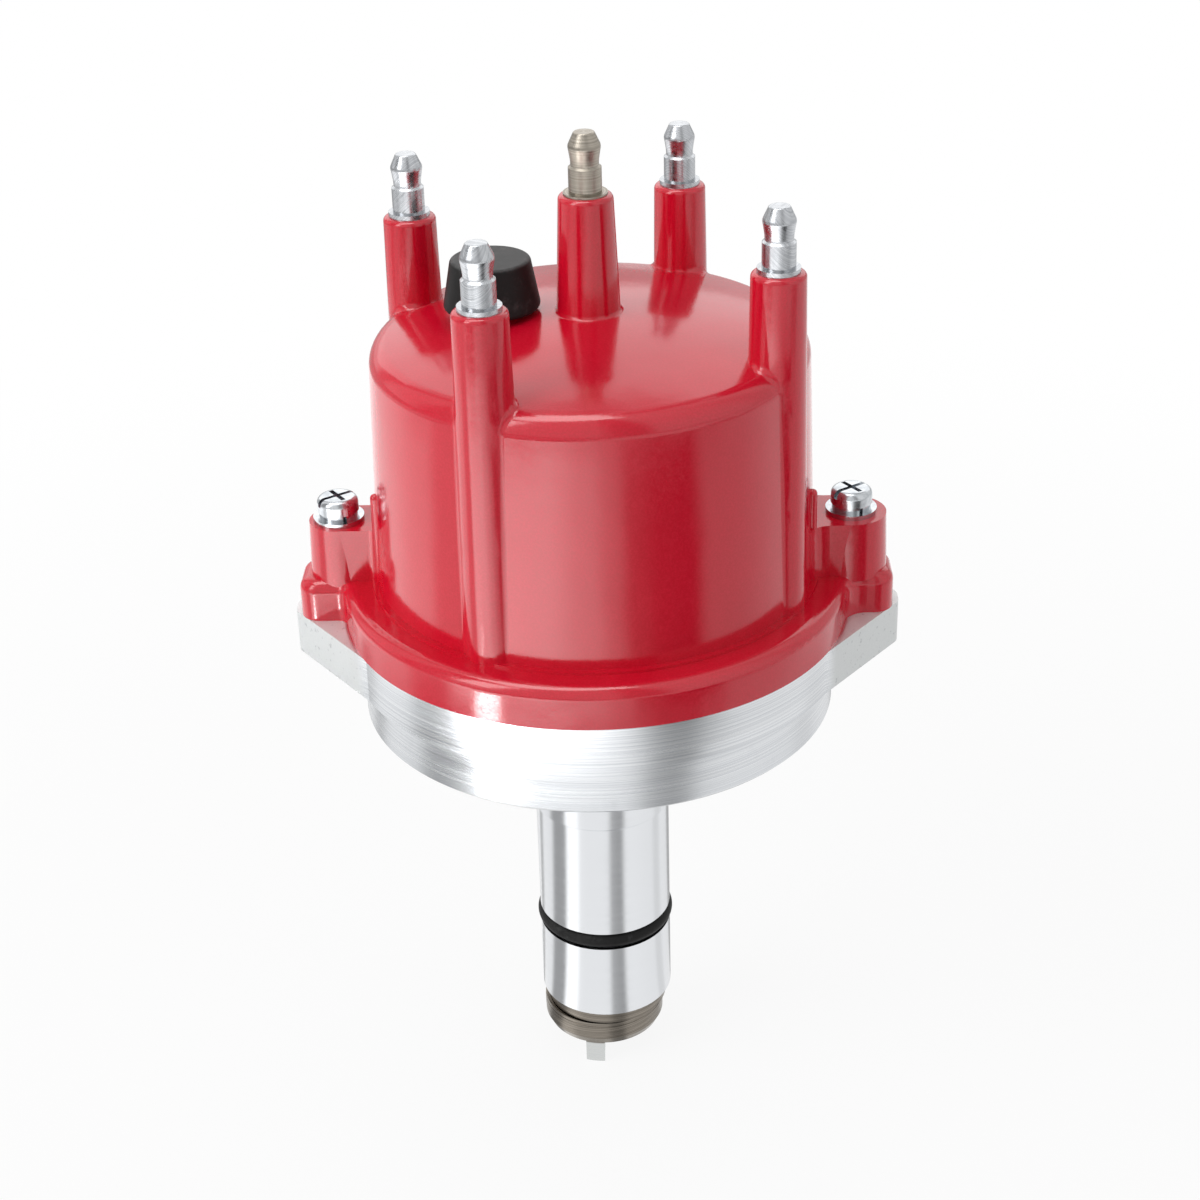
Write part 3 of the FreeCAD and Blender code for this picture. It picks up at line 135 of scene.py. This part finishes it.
class Finish(Tree):
    """A material and the node tree of its finish."""

    def __init__(self, name, **shader):
        self.material = bpy.data.materials.new(name)
        self.material.use_nodes = True
        super().__init__(self.material.node_tree)
        self.shader = self.nodes["Principled BSDF"]
        for key, value in shader.items():
            self.shader.inputs[key.replace("_", " ")].default_value = value
        self.place = self.add("TexCoord").outputs["Object"]

    def into(self, name, value):
        self.feed(self.shader.inputs[name], value)

    def stretched(self, x, y, z):
        """The place, scaled along each axis."""
        return self.add("VectorMath", {0: self.place, 1: (x, y, z)}, operation="MULTIPLY").outputs[0]

    def noise(self, scale, detail=3.0, rough=0.55, place=None):
        feeds = {"Vector": place or self.place, "Scale": scale, "Detail": detail, "Roughness": rough}
        return self.add("TexNoise", feeds).outputs["Fac"]

    def mix(self, share, first, second):
        """Mix two colours."""
        return self.add("Mix", {0: share, 6: first, 7: second}, data_type="RGBA").outputs[2]

    def blend(self, share, first, second):
        """Mix two values."""
        rest = self.math("SUBTRACT", 1.0, share)
        return self.math("ADD", self.math("MULTIPLY", first, rest), self.math("MULTIPLY", second, share))

    def radius(self):
        """Distance from the shaft's axis, and height."""
        parts = self.add("SeparateXYZ", {0: self.place}).outputs
        squares = self.math("ADD", self.math("MULTIPLY", parts[0], parts[0]),
                            self.math("MULTIPLY", parts[1], parts[1]))
        return self.math("SQRT", squares), parts[2]

    def lathe(self, pitch):
        """Noise in fine rings about the shaft's axis, on walls and flat faces alike."""
        parts = self.add("SeparateXYZ", {0: self.place}).outputs
        radius, height = self.radius()
        run = self.math("MULTIPLY", self.math("ADD", radius, height), pitch)
        drift = [self.math("MULTIPLY", part, RING_DRIFT) for part in (parts[0], parts[1])]
        place = self.add("CombineXYZ", {0: drift[0], 1: drift[1], 2: run}).outputs[0]
        return self.noise(1.0, 2, 0.7, place)

    def turn_grain(self):
        """Run the grain of the metal round the shaft's axis."""
        self.into("Tangent", self.add("Tangent", direction_type="RADIAL", axis="Z").outputs[0])

    def relief(self, *layers):
        """Stack bump layers of (height, depth in metres) on the shader's normal."""
        normal = None
        for height, depth in layers:
            feeds = {"Height": height, "Distance": depth, "Strength": 1.0}
            if normal is not None:
                feeds["Normal"] = normal
            normal = self.add("Bump", feeds).outputs[0]
        self.into("Normal", normal)


def cap_plastic():
    """Glossy moulded plastic with orange peel, fine speckle and a few pale nicks."""
    look = Finish("cap_plastic", IOR=1.55, Specular_IOR_Level=0.6)
    speckle = look.noise(2600, 2, 0.6)
    cloud = look.noise(70, 3)
    body = look.mix(look.span(speckle, 0.35, 0.7), srgb(198, 10, 38), srgb(208, 18, 46))
    body = look.mix(look.span(cloud, 0.3, 0.8, 0, 0.35), body, srgb(190, 6, 34))
    cells = look.add("TexVoronoi", {"Vector": look.place, "Scale": 95.0, "Randomness": 1.0})
    where = look.noise(55, 1)
    nick = look.math("MULTIPLY", look.span(cells.outputs["Distance"], 0.012, 0.03, 1, 0),
                     look.span(where, 0.56, 0.62))
    look.into("Base Color", look.mix(nick, body, srgb(225, 150, 150)))
    look.into("Roughness", look.span(speckle, 0.3, 0.75, 0.10, 0.19))
    look.relief((look.noise(45, 2), 0.25 * MM), (speckle, 0.006 * MM), (look.noise(700, 2), 0.010 * MM))
    return look.material


def turned_metal(name, tone, shade, rough, depth=0.002 * MM):
    """Metal cut on a lathe: rings of fine grooves about the shaft's axis."""
    look = Finish(name, Metallic=1.0, Anisotropic=0.5)
    rings = look.lathe(3600)
    broad = look.lathe(720)
    stain = look.noise(160, 4, 0.65)
    tint = look.mix(look.span(rings, 0.3, 0.7), tone, shade)
    look.into("Base Color", look.mix(look.span(stain, 0.5, 0.8, 0, 0.25), tint, shade))
    look.into("Roughness", look.span(broad, 0.3, 0.7, *rough))
    look.turn_grain()
    look.relief((broad, depth * 1.5), (rings, depth))
    return look


def drive_steel():
    """Brownish turned steel, with the driving tang milled bright."""
    look = turned_metal("drive_steel", srgb(158, 150, 140), srgb(104, 98, 90), (0.22, 0.34),
                        depth=0.008 * MM)
    height = look.radius()[1]
    tang_top = DOG_BOTTOM + TANG_DEPTH
    milled = look.span(height, tang_top - TANG_BLEND, tang_top, 1, 0)
    turned = look.shader.inputs["Base Color"].links[0].from_socket
    look.into("Base Color", look.mix(milled, turned, srgb(208, 210, 209)))
    return look.material


def housing_metal():
    """Satin turned aluminium: the ears' milled faces are matt and pitted, the shank is smoother."""
    look = Finish("housing_metal", Metallic=1.0, Anisotropic=0.4)
    radius = look.radius()[0]
    rings = look.lathe(3200)
    broad = look.lathe(600)
    ear = look.span(radius, *EAR_BLEND)
    shank = look.span(radius, *SHANK_BLEND, 1, 0)
    pits = look.noise(900, 3, 0.6)
    grain = look.noise(3200, 2, 0.6)
    stain = look.noise(120, 4, 0.65)
    tone = look.mix(look.span(rings, 0.3, 0.7), srgb(229, 231, 233), srgb(208, 211, 215))
    tone = look.mix(look.span(stain, 0.55, 0.8, 0, 0.3), tone, srgb(186, 190, 194))
    pitted = look.mix(look.span(pits, 0.60, 0.74), srgb(214, 216, 216), srgb(184, 186, 188))
    tone = look.mix(ear, tone, pitted)
    look.into("Base Color", look.mix(shank, tone, srgb(228, 230, 233)))
    satin = look.span(broad, 0.3, 0.7, 0.21, 0.28)
    matt = look.span(grain, 0.3, 0.7, 0.5, 0.62)
    bright = look.span(broad, 0.3, 0.7, 0.13, 0.2)
    look.into("Roughness", look.blend(shank, look.blend(ear, satin, matt), bright))
    look.turn_grain()
    calm = look.math("SUBTRACT", 1.0, look.math("MULTIPLY", shank, 0.75))
    grooves = look.math("MULTIPLY", look.math("MULTIPLY", rings, calm), look.math("SUBTRACT", 1.0, ear))
    pocks = look.math("MULTIPLY", look.span(pits, 0.58, 0.76), ear)
    look.relief((grooves, 0.0013 * MM), (look.math("MULTIPLY", pocks, -1.0), 0.014 * MM),
                (look.math("MULTIPLY", grain, ear), 0.008 * MM))
    return look.material


def rubber():
    """Matt black rubber, with dust lying on top of the vent cap."""
    look = Finish("black_rubber", IOR=1.5, Specular_IOR_Level=0.15)
    grain = look.noise(2400, 3, 0.6)
    dust = look.noise(240, 4, 0.7)
    height = look.radius()[1]
    lying = look.span(height, *DUST_BLEND)
    settled = look.math("ADD", look.span(dust, 0.5, 0.85, 0, 0.5),
                        look.math("MULTIPLY", lying, look.span(dust, 0.3, 0.7, 0.15, 0.7)))
    look.into("Base Color", look.mix(settled, grey(0.012), grey(0.11)))
    look.into("Roughness", look.span(dust, 0.3, 0.75, 0.42, 0.62))
    look.relief((grain, 0.006 * MM), (look.noise(300, 2), 0.02 * MM))
    return look.material


def moulded_black():
    """Black plastic with a fine moulded grain."""
    look = Finish("moulded_black", IOR=1.5)
    grain = look.noise(1800, 2)
    look.into("Base Color", look.mix(look.span(grain, 0.3, 0.7), grey(0.018), grey(0.028)))
    look.into("Roughness", look.span(grain, 0.3, 0.7, 0.32, 0.45))
    look.relief((grain, 0.01 * MM))
    return look.material


def pressed_carbon():
    """Grainy carbon of the brush."""
    look = Finish("pressed_carbon", Roughness=0.6)
    grain = look.noise(3000, 3, 0.7)
    look.into("Base Color", look.mix(look.span(grain, 0.35, 0.7), grey(0.02), grey(0.06)))
    look.relief((grain, 0.012 * MM))
    return look.material


def plated(name, tone, shade, rough):
    """Sheet or drawn metal with a thin plating: soft clouds and fine scratches."""
    look = Finish(name, Metallic=1.0)
    cloud = look.noise(380, 4, 0.6)
    fine = look.noise(1.0, 2, 0.6, look.stretched(3000, 260, 260))
    look.into("Base Color", look.mix(look.span(cloud, 0.35, 0.75), tone, shade))
    look.into("Roughness", look.span(cloud, 0.3, 0.7, *rough))
    look.relief((cloud, 0.006 * MM), (fine, 0.002 * MM))
    return look.material


def finishes():
    """One finish for each material slot of the record."""
    return {
        "machined_aluminium": housing_metal(),
        "cap_plastic": cap_plastic(),
        "black_rubber": rubber(),
        "bearing_steel": turned_metal("ground_steel", grey(0.62), grey(0.5), (0.1, 0.18)).material,
        "bronze": plated("sintered_bronze", srgb(190, 150, 100), srgb(150, 110, 70), (0.35, 0.5)),
        "cage_brass": plated("brass", srgb(214, 180, 110), srgb(190, 152, 84), (0.2, 0.32)),
        "drive_steel": drive_steel(),
        "plated_steel": plated("plated_steel", srgb(205, 203, 196), srgb(176, 174, 166), (0.24, 0.36)),
        "spring_steel": plated("spring_steel", grey(0.42), grey(0.3), (0.2, 0.3)),
        "black_plastic": moulded_black(),
        "carbon": pressed_carbon(),
        "terminal_aluminium": turned_metal("terminal_aluminium", srgb(202, 204, 207), srgb(172, 175, 179),
                                           (0.2, 0.32)).material,
        "terminal_nickel": turned_metal("terminal_nickel", srgb(184, 176, 164), srgb(142, 136, 126),
                                        (0.28, 0.42)).material,
        "zinc_plate": plated("zinc_plate", srgb(206, 209, 212), srgb(178, 183, 188), (0.14, 0.26)),
    }


def dress(looks):
    """Give each node the finish of its slot."""
    slots = {part["node"]: part["material_slot"] for part in frame["record"]["subparts"]}
    for name, node in NODES.items():
        node.data.materials.clear()
        node.data.materials.append(looks[slots[name]])


# The cap's roof is a shallow crown, which the flat roof under it and its rounded rim carry
ROOF_LEVEL = 100.6 * MM
WALL_HEAD_RADIUS = 40.53 * MM
RIM_ROUND = 4.4 * MM
CROWN_SLOPE = math.radians(13)
CENTRE_TOWER_RADIUS = 5.86 * MM
TOWER_FOOT_ROUND = 0.7 * MM
TOWER_FOOT_STEPS = 6
CROWN_SUNK = 0.4 * MM
CROWN_RINGS = 30
CROWN_SECTORS = 144
CROWN_CREASE = math.radians(35)


def crown_profile():
    """Radius and height of the crown, from its edge on the rim's rounding up to the centre tower."""
    edge = WALL_HEAD_RADIUS - RIM_ROUND + RIM_ROUND * math.sin(CROWN_SLOPE)
    level = ROOF_LEVEL - RIM_ROUND + RIM_ROUND * math.cos(CROWN_SLOPE)
    rise = edge * math.tan(CROWN_SLOPE) / 2
    foot = CENTRE_TOWER_RADIUS + TOWER_FOOT_ROUND
    points = [(edge - CROWN_SUNK, level - CROWN_SUNK)]
    for step in range(CROWN_RINGS + 1):
        radius = edge + (foot - edge) * step / CROWN_RINGS
        points.append((radius, level + rise * (1 - (radius / edge) ** 2)))
    base = points[-1][1]
    for step in range(1, TOWER_FOOT_STEPS + 1):
        turn = math.pi / 2 * step / TOWER_FOOT_STEPS
        inward = TOWER_FOOT_ROUND * math.sin(turn)
        upward = TOWER_FOOT_ROUND * (1 - math.cos(turn))
        points.append((foot - inward, base + upward))
    inner = CENTRE_TOWER_RADIUS - CROWN_SUNK
    points.append((inner, base + TOWER_FOOT_ROUND))
    points.append((inner, level - CROWN_SUNK))
    return points


def make_crown(look):
    """The crown as a closed ring about the centre tower."""
    profile = crown_profile()
    count = len(profile)
    corners = []
    faces = []
    for sector in range(CROWN_SECTORS):
        turn = 2 * math.pi * sector / CROWN_SECTORS
        for radius, height in profile:
            corners.append((radius * math.cos(turn), radius * math.sin(turn), height))
        here = sector * count
        there = (sector + 1) % CROWN_SECTORS * count
        for step in range(count):
            after = (step + 1) % count
            faces.append((here + step, there + step, there + after, here + after))
    mesh = bpy.data.meshes.new("cap_crown")
    mesh.from_pydata(corners, [], faces)
    mesh.shade_smooth()
    mesh.set_sharp_from_angle(angle=CROWN_CREASE)
    mesh.materials.append(look)
    crown = bpy.data.objects.new("cap_crown", mesh)
    bpy.context.scene.collection.objects.link(crown)
    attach(crown, "body")


def make_brush_spring():
    """The spring behind the carbon brush, which in the motor shortens as the brush is pushed up; here a
    plain copy of it stands on the body in place of the part.
    """
    spring = bpy.data.objects.new("pressed_spring", NODES["brush_spring"].data.copy())
    bpy.context.scene.collection.objects.link(spring)
    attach(spring, "body")
    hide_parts("brush_spring")
    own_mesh(spring)


# The camera stands where the photograph was taken from
CAMERA_PLACE = Vector((10.088, -385.871, 249.949)) * MM
CAMERA_LENS = 67.435
CAMERA_PITCH = math.radians(27.996)
CAMERA_TURN = math.radians(1.405)
CAMERA_ROLL = math.radians(1.562)


def make_camera():
    """A camera that looks down by its pitch, turned about the upright and rolled about its own axis."""
    outward = Vector((math.sin(CAMERA_TURN), -math.cos(CAMERA_TURN), 0))
    back = math.cos(CAMERA_PITCH) * outward + Vector((0, 0, math.sin(CAMERA_PITCH)))
    level = Vector((math.cos(CAMERA_TURN), math.sin(CAMERA_TURN), 0))
    upright = back.cross(level)
    right = math.cos(CAMERA_ROLL) * level - math.sin(CAMERA_ROLL) * upright
    up = math.sin(CAMERA_ROLL) * level + math.cos(CAMERA_ROLL) * upright
    data = bpy.data.cameras.new("camera")
    data.lens = CAMERA_LENS
    data.sensor_width = 36
    data.clip_start = 0.01
    camera = bpy.data.objects.new("camera", data)
    camera.matrix_world = Matrix.Translation(CAMERA_PLACE) @ Matrix((right, up, back)).transposed().to_4x4()
    bpy.context.scene.collection.objects.link(camera)
    bpy.context.scene.camera = camera


# What glossy surfaces see round the object: level against azimuth in degrees, 0 on the camera's
# side and positive to its right. Soft boxes and pale walls stand with dark gaps between them.
STUDIO = (
    (-180, 0.5), (-170, 0.9), (-150, 0.9), (-139, 1.05), (-133, 0.5), (-127, 0.5), (-121, 1.0),
    (-98, 0.97), (-88, 0.4), (-68, 0.4), (-61, 1.4), (-45, 1.4), (-38, 1.0),
    (5, 1.0), (13, 0.46), (27, 0.38), (35, 1.0), (86, 0.95), (92, 0.8), (102, 0.8),
    (110, 0.95), (132, 0.9), (142, 0.4), (156, 0.5), (162, 0.9), (172, 0.85), (180, 0.5),
)
# The boxes stand close by, so what a wide part mirrors is turned against what a narrow part does
STUDIO_TWIST = math.radians(92)
TWIST_START = 0.09
# A brighter ring of the floor, which the cap's walls mirror and the metal under it doesn't
RING = (
    (-180, 1.2), (-140, 1.3), (-107, 1.6), (-88, 1.7), (-80, 1.0), (-66, 1.0), (-56, 4.0), (-24, 3.9),
    (-2, 2.5), (10, 1.4), (20, 0.35), (33, 0.08), (48, 0.03), (58, 0.8), (70, 0.8), (110, 1.1), (180, 1.2),
)
RING_RADII = (0.222, 0.24, 0.42, 0.52)
# A small bright patch of the floor, which the cap's flange mirrors
PATCH = (
    (-180, 0.0), (-50.5, 0.0), (-47.5, 20.0), (-40.5, 20.0), (-37.5, 0.0), (180, 0.0),
)
PATCH_RADII = (0.217, 0.222, 0.25, 0.256)
FLOOR_HALF = 6.0
# How far from the axis the floor still shows a shadow, and how much of it is plain white there
SHADOW_REACH = (0.12, 0.45)
SHADOW_WHITE = 0.9

# Broad lamps for matt surfaces: place, size and power
LAMPS = {
    "key": ((-1.0, -0.45, 0.55), (1.0, 1.0), 11),
    "fill": ((0.8, -0.5, 0.35), (0.8, 0.9), 2),
    "top": ((0.0, 0.15, 1.0), (1.2, 1.2), 5),
}
# Bright cards for glossy surfaces: azimuth in degrees, height, distance, size and level
CARDS = {
    "key_box": (-53, 0.75, 1.0, (0.35, 0.8), 5.0),
    "top_box": (-70, 1.0, 0.2, (0.45, 0.6), 5.0),
    "back_box": (180, 0.75, 1.2, (2.4, 0.9), 1.6),
}


def studio_glow(tree, place, table=STUDIO, twist=0.0):
    """Brightness of the studio in the direction of a place seen from the object's axis."""
    top = max(level for _, level in table)
    parts = tree.add("SeparateXYZ", {0: place}).outputs
    azimuth = tree.math("ARCTAN2", parts["X"], tree.math("MULTIPLY", parts["Y"], -1.0))
    share = tree.span(tree.math("SUBTRACT", azimuth, twist), -math.pi, math.pi, smooth=False)
    ramp = tree.add("ValToRGB", {0: share})
    ramp.color_ramp.interpolation = "EASE"
    stops = ramp.color_ramp.elements
    stops[0].color = grey(table[0][1] / top)
    stops[1].color = grey(table[-1][1] / top)
    for angle, level in table[1:-1]:
        stops.new(angle / 360 + 0.5).color = grey(level / top)
    return tree.add("Emission", {"Color": ramp.outputs[0], "Strength": top}).outputs[0]


def ring_share(tree, length, radii):
    """1 on a ring of the floor, falling to 0 at its inner and outer edge."""
    return tree.math("SUBTRACT", tree.span(length, *radii[:2]), tree.span(length, *radii[2:]))


def floor_glow(tree, place):
    """The studio as the floor shows it, with the brighter ring and the patch."""
    length = tree.length(place)
    twist = tree.math("MULTIPLY_ADD", length, STUDIO_TWIST, -STUDIO_TWIST * TWIST_START)
    mixed = tree.mix_shaders(ring_share(tree, length, RING_RADII), studio_glow(tree, place, twist=twist),
                             studio_glow(tree, place, RING))
    share = ring_share(tree, length, PATCH_RADII)
    patch = tree.add("MixShader", {0: share, 2: studio_glow(tree, place, PATCH)}).outputs[0]
    return tree.add("AddShader", {0: mixed, 1: patch}).outputs[0]


def by_ray(tree, lit, shown, share, glossy):
    """Mix what lights, what the camera shows by a share, and what glossy surfaces see."""
    path = tree.add("LightPath").outputs
    seen = tree.math("MAXIMUM", path["Is Camera Ray"], path["Is Transmission Ray"])
    plain = tree.mix_shaders(tree.math("MULTIPLY", seen, share), lit, shown)
    return tree.mix_shaders(path["Is Glossy Ray"], plain, glossy)


def stage_mesh(name, corners):
    """One face of the studio, with a material of its own."""
    mesh = bpy.data.meshes.new(name)
    mesh.from_pydata(corners, [], [tuple(range(len(corners)))])
    item = bpy.data.objects.new(name, mesh)
    bpy.context.scene.collection.objects.link(item)
    material = bpy.data.materials.new(name)
    material.use_nodes = True
    mesh.materials.append(material)
    return item, Tree(material.node_tree)


def make_floor():
    """A pale floor that shows as white and keeps a soft shadow."""
    sides = ((-1, -1), (1, -1), (1, 1), (-1, 1))
    tree = stage_mesh("floor", [(x * FLOOR_HALF, y * FLOOR_HALF, FLOOR_LEVEL) for x, y in sides])[1]
    shader = tree.nodes["Principled BSDF"]
    shader.inputs["Base Color"].default_value = grey(0.75)
    shader.inputs["Roughness"].default_value = 0.9
    white = tree.add("Emission").outputs[0]
    place = tree.add("TexCoord").outputs["Object"]
    share = tree.span(tree.length(place), *SHADOW_REACH, SHADOW_WHITE)
    result = by_ray(tree, shader.outputs[0], white, share, floor_glow(tree, place))
    tree.feed(tree.nodes["Material Output"].inputs["Surface"], result)


def make_world():
    """White where it shows, a plain soft level where it lights, and the studio in reflections."""
    world = bpy.data.worlds.new("studio")
    bpy.context.scene.world = world
    world.use_nodes = True
    tree = Tree(world.node_tree)
    soft = tree.nodes["Background"]
    soft.inputs["Color"].default_value = grey(1.0)
    soft.inputs["Strength"].default_value = 0.3
    white = tree.add("Background", {"Color": grey(1.0)}).outputs[0]
    direction = tree.add("TexCoord").outputs["Generated"]
    result = by_ray(tree, soft.outputs[0], white, 1.0, studio_glow(tree, direction))
    tree.feed(tree.nodes["World Output"].inputs["Surface"], result)


def area_lamp(name, place, size, power):
    """A broad lamp that glossy surfaces don't see, aimed at the object."""
    data = bpy.data.lights.new(name, "AREA")
    data.shape = "RECTANGLE"
    data.size, data.size_y = size
    data.energy = power
    lamp = bpy.data.objects.new(name, data)
    lamp.location = place
    lamp.rotation_mode = "QUATERNION"
    lamp.rotation_quaternion = ((cad_low + cad_high) / 2 - Vector(place)).to_track_quat("-Z", "Y")
    lamp.visible_glossy = False
    lamp.visible_camera = False
    bpy.context.scene.collection.objects.link(lamp)


def bright_card(name, azimuth, height, distance, size, level):
    """A bright card that only glossy surfaces see, facing the object."""
    turn = math.radians(azimuth)
    middle = Vector((math.sin(turn) * distance, -math.cos(turn) * distance, height))
    facing = ((cad_low + cad_high) / 2 - middle).normalized()
    across = facing.cross(Vector((0, 0, 1))).normalized() * size[0] / 2
    up = across.cross(facing).normalized() * size[1] / 2
    corners = [middle - across - up, middle + across - up, middle + across + up, middle - across + up]
    card, tree = stage_mesh(name, corners)
    glow = tree.add("Emission", {"Strength": level})
    tree.feed(tree.nodes["Material Output"].inputs["Surface"], glow.outputs[0])
    card.visible_camera = False
    card.visible_diffuse = False
    card.visible_shadow = False
    card.visible_transmission = False


looks = finishes()
dress(looks)
make_crown(looks["cap_plastic"])
make_brush_spring()
make_camera()
make_floor()
make_world()
for name, values in LAMPS.items():
    area_lamp(name, *values)
for name, values in CARDS.items():
    bright_card(name, *values)
bpy.context.scene.view_settings.view_transform = "Standard"
